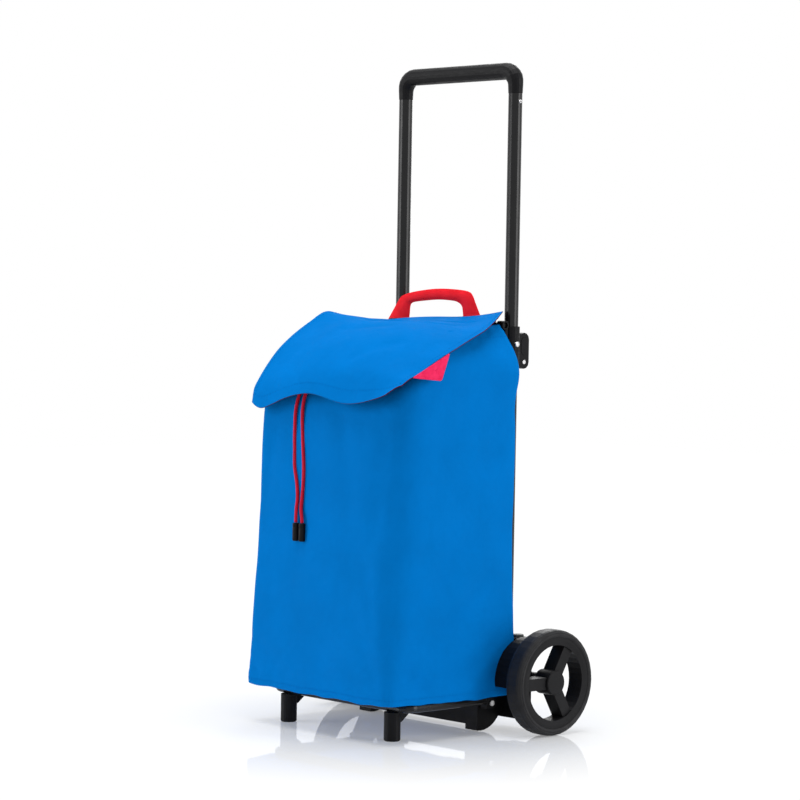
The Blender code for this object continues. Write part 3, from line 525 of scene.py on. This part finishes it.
# (two (x, z) ends on the front or (y, z) ends on the sides, width, depth)
FRONT_CREASES = [
    (((0.020, 0.470), (0.060, 0.300)), 0.016, 0.0027),
    (((0.118, 0.460), (0.108, 0.250)), 0.014, 0.0039),
    (((-0.110, 0.440), (-0.135, 0.300)), 0.012, 0.0021),
    (((0.060, 0.200), (0.130, 0.080)), 0.015, 0.0030),
    (((0.090, 0.260), (0.120, 0.140)), 0.012, 0.0027),
    (((-0.150, 0.130), (-0.080, 0.078)), 0.010, 0.0030),
    (((-0.148, 0.100), (-0.120, 0.062)), 0.006, 0.0030),
]
SIDE_CREASES = [
    (((0.020, 0.300), (-0.130, 0.180)), 0.012, 0.0036),
    (((0.040, 0.230), (-0.110, 0.120)), 0.011, 0.0036),
    (((0.050, 0.400), (-0.060, 0.330)), 0.014, 0.0027),
    (((0.060, 0.150), (-0.030, 0.085)), 0.010, 0.0030),
    (((-0.140, 0.110), (-0.090, 0.066)), 0.007, 0.0033),
    (((0.000, 0.470), (-0.090, 0.380)), 0.014, 0.0021),
]

# How large each ring of the closed base is, and how far in and up the mouth's rolled hem goes
BASE_RINGS = (0.02, 0.25, 0.5, 0.75, 0.95)
MOUTH_ROLL = ((0.0010, 0.0020), (0.0028, 0.0022), (0.0042, 0.0), (0.0046, -0.0120))


def section_point(section, share):
    """(place, outward direction) at a share of the way round one of the bag's sections."""
    z, front_half, back_half, depth, front_bend = section
    front_y = BACK_Y - depth
    half = (front_half + back_half) / 2
    bends = [front_bend, BACK_BEND, BACK_BEND, min(front_bend, LEFT_BEND)]
    sides = (2 * half, depth, 2 * half, depth)
    straights = [sides[k] - bends[k - 1] - bends[k] for k in range(4)]
    lengths = [length for k in range(4) for length in (straights[k], pi / 2 * bends[k])]
    walked = share * sum(lengths)
    side = 0
    while side < 7 and walked > lengths[side]:
        walked -= lengths[side]
        side += 1
    corner = bends[side // 2]
    turn = (side // 2) * pi / 2
    outward = Vector((sin(turn), -cos(turn), 0))
    along = Vector((cos(turn), sin(turn), 0))
    x = (half - corner) * (1 if side // 2 < 2 else -1)
    y = BACK_Y - corner if side // 2 in (1, 2) else front_y + corner
    if side % 2:
        angle = walked / corner
        direction = outward * cos(angle) + along * sin(angle)
        place = Vector((x, y, z)) + direction * corner
    else:
        place = Vector((x, y, z)) + outward * corner - along * (lengths[side] - walked)
        direction = outward
    backward = (place.y - front_y) / depth
    place.x *= (front_half + (back_half - front_half) * backward) / half
    return place, direction


def bag_relief(place, direction):
    """How far the cloth stands out of its section: a soft belly, drifting folds and creases."""
    z = place.z
    calm = 1.0 if z < SHOULDER_Z else max(0.35, 1 - (z - SHOULDER_Z) / 0.05)
    relief = ripple((place.x, place.y, z * 0.45), 0.075, 0.0026) * calm
    relief += ripple((place.x + 3, place.y, z * 0.7), 0.030, 0.0007) * calm
    belly = sin(pi * min(z, SHOULDER_Z) / SHOULDER_Z)
    front = 0.0055 * cos((place.x - 0.05) * pi / 0.36) * belly
    front -= sum(crease(place.x, z, *fold) for fold in FRONT_CREASES)
    side = 0.0030 * cos((place.y + 0.045) * pi / 0.26) * belly
    side -= sum(crease(place.y, z, *fold) for fold in SIDE_CREASES)
    relief += front * max(0.0, -direction.y) ** 2 + side * direction.x**2
    if direction.y > 0.7:
        relief = min(relief, 0.0)
    return relief


def hem_relief(z):
    """The turned-up hem stands a fold's thickness proud of the bag."""
    return HEM_FOLD * min(1.0, max(0.0, (HEM_TOP_Z - z) / HEM_EDGE))


def bag_point(level, share):
    """(place, outward direction) on the finished bag, at a level that counts its sections."""
    section = curve_through(BAG_SECTIONS, level)
    place, direction = section_point(section, share)
    depth = section[3]
    backward = (place.y - BACK_Y + depth) / depth
    top = max(0.0, level - GATHERED_FROM) / (BAG_TOP - GATHERED_FROM)
    turns = 2 * pi * GATHERS * share + 2 * noise.noise(place * 20)
    gather = GATHER_DEPTH * top**2 * sin(turns)
    relief = bag_relief(place, direction) + hem_relief(place.z)
    place += direction * (relief + gather)
    place.z += MOUTH_LIFT * backward * top
    if level < HEM_TO:
        sag = max(0.0, place.x) / HEM_HALF_WIDTH * backward * HEM_SAG
        wave = ripple((place.x, place.y, 5), 0.032, 0.0050)
        place.z += (wave - sag) * (1 - level / HEM_TO) ** 2
    return place, direction


def base_rows(shares):
    """The flat closed base, as rings that grow from its middle."""
    centre = Vector((0, BACK_Y - BAG_SECTIONS[0][3] / 2, BAG_SECTIONS[0][0]))
    edge = [bag_point(0, share)[0] for share in shares]
    rows = []
    for size in BASE_RINGS:
        row = [centre + (point - centre) * size for point in edge]
        for point in row:
            point.z = centre.z
        rows.append(row)
    return rows


def mouth_rows(shares):
    """The mouth's edge, rolled over and a little way down inside."""
    edge = [bag_point(BAG_TOP, share) for share in shares]
    return [
        [place - direction * inwards + Vector((0, 0, up)) for place, direction in edge]
        for inwards, up in MOUTH_ROLL
    ]


def make_bag(cloth, inside):
    """The bag as one lofted shell, from its closed base to the rolled edge of its mouth."""
    shares = [k / BAG_AROUND for k in range(BAG_AROUND)]
    rows = base_rows(shares)
    for k in range(BAG_ROWS + 1):
        level = BAG_TOP * (k / BAG_ROWS)
        rows.append([bag_point(level, share)[0] for share in shares])
    rows += mouth_rows(shares)
    bag = link("bag_shell", grid_mesh("bag_shell", rows, closed=True), cloth, inside)
    solid_cloth(bag, lining=True)
    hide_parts("bag_body")
    return bag


def stitch_row(name, places, material):
    """Raised stitches along a line of (point, outward direction) pairs."""
    length, radius = STITCH_LENGTH, STITCH_RADIUS
    bm = bmesh.new()
    walked, start = 0.0, None
    for (first, out), (second, _) in zip(places, places[1:]):
        if start is None:
            start, start_out, walked = first, out, 0.0
        walked += (second - first).length
        if walked < length + STITCH_GAP:
            continue
        along = (second - start).normalized()
        across = along.cross(start_out).normalized()
        middle = start + along * length / 2 + start_out * radius * 0.6
        turn = Matrix((along, across, along.cross(across))).transposed().to_4x4()
        shape = Matrix.Diagonal((length / 2, radius, radius, 1))
        place = Matrix.Translation(middle) @ turn @ shape
        bmesh.ops.create_icosphere(bm, subdivisions=1, radius=1, matrix=place)
        start = None
    return link(name, finished_mesh(name, bm), material)


def bag_stitches(thread):
    """The hem's two rows of stitches, and the channel's row below the mouth."""
    made = []
    samples = 900
    levels = {"hem_stitches_low": 0.45, "hem_stitches_high": 0.98, "channel_stitches": 10.2}
    for name, level in levels.items():
        line = [bag_point(level, k / samples) for k in range(samples + 1)]
        made.append(stitch_row(name, line, thread))
    return made


def make_back_seam(cloth):
    """The felled seam that runs up the bag's back beside its right corner, as a raised ridge."""
    seam_share = 0.495
    half_share = 0.0022
    height = 0.0011
    low, high = 0.6, 10.2
    rows = []
    for k in range(61):
        level = low + (high - low) * k / 60
        row = []
        for step in range(7):
            offset = (step - 3) / 3
            place, direction = bag_point(level, seam_share + offset * half_share)
            row.append(place + direction * (height * (1 - offset**2) + 0.0001))
        rows.append(row)
    return link("seam_back", grid_mesh("seam_back", rows), cloth)


# Flap

# (distance forward of the seam, half width at the left and at the right, height at the left edge,
# in the middle and at the right edge), from the back seam to the front hem.
FLAP_STATIONS = [
    (0.0015, 0.1130, 0.1125, 0.5825, 0.5870, 0.5965),
    (0.018, 0.1220, 0.1240, 0.5800, 0.5830, 0.5910),
    (0.040, 0.1360, 0.1360, 0.5810, 0.5805, 0.5810),
    (0.070, 0.1490, 0.1480, 0.5850, 0.5790, 0.5690),
    (0.100, 0.1560, 0.1560, 0.5920, 0.5780, 0.5595),
    (0.128, 0.1600, 0.1600, 0.5780, 0.5740, 0.5495),
    (0.156, 0.1620, 0.1630, 0.5600, 0.5640, 0.5370),
    (0.184, 0.1630, 0.1650, 0.5370, 0.5490, 0.5230),
    (0.208, 0.1630, 0.1650, 0.5110, 0.5320, 0.5105),
    (0.227, 0.1610, 0.1645, 0.4880, 0.5130, 0.5040),
    (0.238, 0.1590, 0.1630, 0.4740, 0.4930, 0.4990),
    (0.246, 0.1560, 0.1610, 0.4600, 0.4710, 0.4950),
]
FLAP_LAST = len(FLAP_STATIONS) - 1

# The height of the front hem, at even steps from the left corner to the right one. The last
# two stations blend into it.
HEM_HEIGHTS = [
    0.4600, 0.4530, 0.4590, 0.4680, 0.4745, 0.4765, 0.4735,
    0.4690, 0.4665, 0.4680, 0.4730, 0.4810, 0.4950,
]
HEM_STATIONS = 2
CORNER_FROM = 0.86
CORNER_PULL = 0.006
FIRM_SEAM = 0.03
SEAM_FOOT_Z = 0.5855
SEAM_ACROSS = 0.92
FLAP_ROWS = 84
FLAP_COLUMNS = 96

# (two (x, distance forward of the seam) ends, width, depth)
FLAP_CREASES = [
    (((-0.147, 0.078), (0.023, 0.052)), 0.0050, 0.0034),
    (((-0.093, 0.098), (0.093, 0.060)), 0.0055, 0.0034),
    (((-0.031, 0.038), (0.109, 0.030)), 0.0045, 0.0020),
    (((0.010, 0.088), (0.105, 0.066)), 0.0045, 0.0020),
    (((-0.085, 0.150), (0.031, 0.120)), 0.0110, 0.0024),
    (((0.016, 0.215), (0.093, 0.160)), 0.0100, 0.0020),
    (((-0.124, 0.200), (-0.062, 0.235)), 0.0090, 0.0020),
    (((-0.016, 0.180), (0.047, 0.235)), 0.0090, 0.0016),
]


def station_height(station, across):
    """How high a station is, as two half parabolas from its middle to its edges."""
    middle = station[4]
    edge = station[3] if across < 0 else station[5]
    return middle + (edge - middle) * across**2


def hem_height(across):
    heights = [(height,) for height in HEM_HEIGHTS]
    return curve_through(heights, (across + 1) / 2 * (len(heights) - 1))[0]


def flap_point(level, across):
    """A point of the flap's upper face, across from -1 at the left to 1 at the right."""
    station = curve_through(FLAP_STATIONS, level)
    forward, left, right = station[:3]
    x = across * (left if across < 0 else right)
    hang = max(0.0, level - (FLAP_LAST - HEM_STATIONS)) / HEM_STATIONS
    smooth = hang * hang * (3 - 2 * hang)
    drop = hem_height(across) - station_height(FLAP_STATIONS[-1], across)
    z = station_height(station, across) + drop * smooth
    corner = max(0.0, abs(across) - CORNER_FROM) / (1 - CORNER_FROM)
    forward -= CORNER_PULL * corner**2 * smooth
    firm = min(1.0, forward / FIRM_SEAM)
    z += firm * ripple((x, forward, 2), 0.055, 0.0022)
    z -= firm * sum(crease(x, forward, *fold) for fold in FLAP_CREASES)
    return Vector((x, FLAP_SEAM_Y - forward, z))


def make_flap(cloth, lining):
    """The flap's cloth, blue outside and lined in maroon."""
    rows = []
    for k in range(FLAP_ROWS + 1):
        level = FLAP_LAST * k / FLAP_ROWS
        rows.append([flap_point(level, 2 * i / FLAP_COLUMNS - 1) for i in range(FLAP_COLUMNS + 1)])
    flap = link("flap_cloth", grid_mesh("flap_cloth", rows), cloth, lining)
    top_face = FLAP_COLUMNS * (FLAP_ROWS // 4) + FLAP_COLUMNS // 2
    if flap.data.polygons[top_face].normal.z < 0:
        flap.data.flip_normals()
    solid_cloth(flap, lining=True)
    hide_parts("bag_flap")
    return flap


def make_turned_seam(lining):
    """The lining's turned-under edge below the flap's back seam, deepest at the right."""
    rows = []
    tops = [flap_point(0, SEAM_ACROSS * k / 48) for k in range(49)]
    behind = 0.0002
    for drop in (0.0, 0.5, 1.0):
        rows.append([Vector((p.x, p.y + behind, p.z + (SEAM_FOOT_Z - p.z) * drop)) for p in tops])
    seam = link("flap_turned_seam", grid_mesh("flap_turned_seam", rows), lining)
    solid_cloth(seam, CLOTH / 2)
    return seam


def flap_stitches(thread):
    """Stitches just inside the flap's hem and along both of its sides."""
    hem_level = FLAP_LAST - 0.8
    forward, up = Vector((0, -1, 0.1)), Vector((0, -0.5, 0.86))
    hem = [(flap_point(hem_level, 2 * k / 160 - 1), forward) for k in range(161)]
    made = [stitch_row("flap_hem_stitches", hem, thread)]
    for name, across in (("flap_left_stitches", -0.955), ("flap_right_stitches", 0.955)):
        line = [(flap_point(FLAP_LAST * k / 300, across), up) for k in range(4, 286)]
        made.append(stitch_row(name, line, thread))
    return made


# Label, loop and tunnel


LABEL_BEND = 0.0040
LABEL_PUFF = 0.0006


def rounded(corners, bend):
    """An outline through corners that are each cut back by this much and rounded."""
    outline = []
    for k, corner in enumerate(corners):
        before, after = corners[k - 1], corners[(k + 1) % len(corners)]
        start = corner + (before - corner).normalized() * bend
        end = corner + (after - corner).normalized() * bend
        for step in range(6):
            t = step / 5
            outline.append(start * (1 - t) ** 2 + corner * 2 * t * (1 - t) + end * t**2)
    return outline


def make_label(cloth):
    """A folded triangular tab with soft corners, just outside the flap's right-hand edge."""
    low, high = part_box("label_tab")
    corners = [
        Vector((low.y, low.z + 0.0045)),
        Vector((high.y + 0.001, high.z + 0.0055)),
        Vector((low.y + 0.0550, low.z)),
    ]
    outline = rounded(corners, LABEL_BEND)
    middle = sum(corners, Vector((0, 0))) / 3
    rows = []
    for size in (0.02, 0.35, 0.65, 0.88, 1.0):
        places = [middle + (point - middle) * size for point in outline]
        x = high.x + LABEL_PUFF * (1 - size**2)
        rows.append([Vector((x, place.x, place.y)) for place in places])
    tab = link("label_cloth", grid_mesh("label_cloth", rows, closed=True), cloth)
    solid_cloth(tab, THIN_CLOTH, offset=0)
    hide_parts("label_tab")
    return tab


# (outer edge, inner edge) of the webbing loop as (x, z), from its left foot to its right foot.
LOOP_EDGES = [
    ((-0.1340, 0.5800), (-0.0880, 0.5800)),
    ((-0.1245, 0.5925), (-0.0870, 0.5920)),
    ((-0.1145, 0.6055), (-0.0865, 0.6000)),
    ((-0.1045, 0.6155), (-0.0840, 0.6052)),
    ((-0.0850, 0.6212), (-0.0755, 0.6076)),
    ((-0.0530, 0.6255), (-0.0520, 0.6098)),
    ((-0.0230, 0.6275), (-0.0230, 0.6114)),
    ((0.0100, 0.6268), (0.0080, 0.6100)),
    ((0.0360, 0.6243), (0.0200, 0.6068)),
    ((0.0460, 0.6190), (0.0255, 0.6022)),
    ((0.0540, 0.6050), (0.0270, 0.5955)),
    ((0.0640, 0.5870), (0.0280, 0.5845)),
]
LOOP_STEPS = 72

# (share of the strap's width, share of its half thickness) round its cross-section
LOOP_SECTION = [
    (0.0, -0.5), (0.02, -1), (0.5, -1.15), (0.98, -1), (1.0, -0.5),
    (1.0, 0.5), (0.98, 1), (0.5, 1), (0.02, 1), (0.0, 0.5),
]


def loop_point(level, across, y):
    """A point of the strap, across from 0 at its outer edge to 1 at its inner one."""
    edges = [outer + inner for outer, inner in LOOP_EDGES]
    outer_x, outer_z, inner_x, inner_z = curve_through(edges, level)
    x = outer_x + (inner_x - outer_x) * across
    z = outer_z + (inner_z - outer_z) * across
    return Vector((x, y, z))


def make_loop(webbing):
    """A strap with broad flat feet, folded in half along its top where the hand holds it."""
    y = sum(point.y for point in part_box("carry_loop")) / 2
    last = len(LOOP_EDGES) - 1
    rows = []
    for k in range(LOOP_STEPS + 1):
        level = last * k / LOOP_STEPS
        thick = 0.0009 + 0.0008 * sin(pi * k / LOOP_STEPS) ** 2
        lean = 0.0007 * sin(2 * pi * k / LOOP_STEPS)
        rows.append([loop_point(level, across, y + lean + thick * depth) for across, depth in LOOP_SECTION])
    loop = link("loop_webbing", grid_mesh("loop_webbing", rows, closed=True), webbing)
    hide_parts("carry_loop")
    return loop


def loop_stitches(thread):
    """The row that holds the folded strap together along its grip."""
    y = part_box("carry_loop")[0].y - 0.0007
    forward = Vector((0, -1, 0))
    first, last = 3.2, 8.4
    levels = [first + (last - first) * k / 199 for k in range(200)]
    line = [(loop_point(level, 0.8, y), forward) for level in levels]
    return stitch_row("loop_stitches", line, thread)


def make_tunnel(cloth):
    """The fabric tube sewn round the hanger bar, puckered along its length."""
    low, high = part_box("bar_tunnel")
    centre = (low + high) / 2
    tube_radius, pucker = 0.0058, 0.0006
    rows = []
    steps = 90
    for k in range(steps + 1):
        x = low.x + (high.x - low.x) * k / steps
        row = []
        for i in range(24):
            angle = 2 * pi * i / 24
            radius = tube_radius + pucker * noise.noise(Vector((x / 0.011, cos(angle), sin(angle))))
            row.append(Vector((x, centre.y + radius * cos(angle), centre.z + radius * sin(angle))))
        rows.append(row)
    tunnel = link("tunnel_cloth", grid_mesh("tunnel_cloth", rows, closed=True), cloth)
    solid_cloth(tunnel, THIN_CLOTH)
    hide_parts("bar_tunnel")
    return tunnel


def make_back_panel(cloth):
    """The bag's back wall carried up to the tunnel, which hangs it from the bar."""
    tunnel_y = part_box("bar_tunnel")[1].y - 0.0042
    foot_z, top_z = 0.5640, 0.5705
    rows = []
    for k in range(13):
        share = k / 12
        z = foot_z + (top_z - foot_z) * share
        half = 0.112 - 0.015 * share
        row = []
        for i in range(61):
            x = (2 * i / 60 - 1) * half
            pucker = 0.0007 * noise.noise(Vector((x / 0.012, 0, 1))) * share
            y = BACK_Y - 0.0002 + (tunnel_y - BACK_Y) * share * 0.2 + pucker
            row.append(Vector((x, y, z)))
        rows.append(row)
    panel = link("back_yoke", grid_mesh("back_yoke", rows), cloth)
    solid_cloth(panel)
    return panel


# Drawcords

# (x, y from the tubes' centres, height) down each cord, from its eyelet to its barrel
CORD_ROUTES = {
    "left": [
        (-0.0580, -0.2355, 0.4900),
        (-0.0650, -0.2410, 0.4760),
        (-0.0690, -0.2450, 0.4510),
        (-0.0687, -0.2465, 0.4170),
        (-0.0666, -0.2478, 0.3945),
        (-0.0647, -0.2490, 0.3720),
        (-0.0578, -0.2506, 0.3496),
        (-0.0541, -0.2520, 0.3300),
        (-0.0541, -0.2538, 0.3130),
        (-0.0523, -0.2560, 0.2990),
        (-0.0520, -0.2562, 0.2935),
    ],
    "right": [
        (-0.0480, -0.2355, 0.4900),
        (-0.0525, -0.2410, 0.4760),
        (-0.0542, -0.2450, 0.4510),
        (-0.0514, -0.2465, 0.4170),
        (-0.0482, -0.2478, 0.3945),
        (-0.0452, -0.2490, 0.3720),
        (-0.0438, -0.2506, 0.3496),
        (-0.0440, -0.2520, 0.3300),
        (-0.0438, -0.2538, 0.3130),
        (-0.0388, -0.2562, 0.2990),
        (-0.0384, -0.2564, 0.2935),
    ],
}
CORD_STEPS = 72
CORD_SIDES = 12

# (share of its length down, share of its radius) of the barrel on a cord's end
BARREL_PROFILE = [
    (0.00, 0.60), (0.00, 0.86), (0.02, 0.96), (0.05, 1.00), (0.20, 1.00), (0.215, 0.955),
    (0.235, 0.955), (0.25, 1.00), (0.90, 1.00), (0.96, 0.97), (0.99, 0.88), (1.00, 0.70),
    (0.96, 0.62), (0.94, 0.30), (0.94, 0.02),
]
BARREL_SIDES = 28
EYELET_RADIUS = 0.0042
EYELET_OUT = Vector((0, -0.92, 0.39))


def cord_line(side):
    route = [(x, TUBE_Y + y, z) for x, y, z in CORD_ROUTES[side]]
    last = len(route) - 1
    return [Vector(curve_through(route, last * k / CORD_STEPS)) for k in range(CORD_STEPS + 1)]


def make_cord(side, braid, end_plastic):
    """A drawcord and its barrel: it hangs from its eyelet down the bag's front."""
    line = cord_line(side)
    rows = []
    for k, point in enumerate(line):
        along = (line[min(k + 1, CORD_STEPS)] - line[max(k - 1, 0)]).normalized()
        across = along.cross(Vector((0, 1, 0))).normalized()
        rows.append(ring(point, across, along.cross(across), CORD_DIAMETER / 2, CORD_SIDES))
    cord = link(f"cord_{side}", grid_mesh(f"cord_{side}", rows, closed=True), braid)
    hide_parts(f"drawcord_{side}")
    barrel = make_barrel(side, end_plastic)
    return cord, barrel


def make_barrel(side, plastic):
    """The crimped barrel on a cord's end: rounded rims, a waist line and a recessed foot."""
    low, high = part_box(f"cord_end_{side}")
    centre = (low + high) / 2
    radius = (high.x - low.x) / 2
    length = high.z - low.z
    rows = []
    for share, width in BARREL_PROFILE:
        middle = Vector((centre.x, centre.y, high.z - length * share))
        rows.append(ring(middle, Vector((1, 0, 0)), Vector((0, 1, 0)), radius * width, BARREL_SIDES))
    barrel = link(f"cord_barrel_{side}", grid_mesh(f"cord_barrel_{side}", rows, closed=True), plastic)
    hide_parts(f"cord_end_{side}")
    return barrel


def make_eyelet(side, steel):
    """The pressed ring where a drawcord comes out of the channel."""
    centre = cord_line(side)[0] + Vector((0, 0.0005, 0))
    level = Vector((1, 0, 0))
    up = EYELET_OUT.cross(level)
    rows = []
    for k in range(33):
        angle = 2 * pi * k / 32
        spoke = level * cos(angle) + up * sin(angle)
        middle = centre + spoke * EYELET_RADIUS
        rows.append(ring(middle, spoke * 0.0011, EYELET_OUT * 0.0007, 1, 10))
    return link(f"eyelet_{side}", grid_mesh(f"eyelet_{side}", rows, closed=True), steel)


def flatten(pieces):
    """Gives each soft piece a mesh of its own."""
    for piece in pieces:
        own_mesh(piece)


make_camera()
finishes = make_finishes()
finish_frame(finishes)
blue, lining, thread = finishes["bag_blue"], finishes["lining"], finishes["thread"]

soft_pieces = []
for side in ("left", "right"):
    soft_pieces += make_cord(side, finishes["cord_red"], finishes["black_plastic"])
    soft_pieces.append(make_eyelet(side, finishes["bright_steel"]))
make_light()
make_floor()
soft_pieces += [make_bag(blue, finishes["inside"]), *bag_stitches(thread), make_back_seam(blue)]
firm_pieces = [make_loop(finishes["webbing_red"]), loop_stitches(finishes["red_thread"])]
firm_pieces += [make_tunnel(blue), make_back_panel(blue)]
for piece in firm_pieces + soft_pieces:
    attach(piece, "frame")
flap_pieces = [make_flap(finishes["flap_blue"], lining), *flap_stitches(thread)]
flap_pieces += [make_turned_seam(lining), make_label(finishes["tab_pink"])]
for piece in flap_pieces:
    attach(piece, "flap")
flatten(soft_pieces)
flatten(flap_pieces)
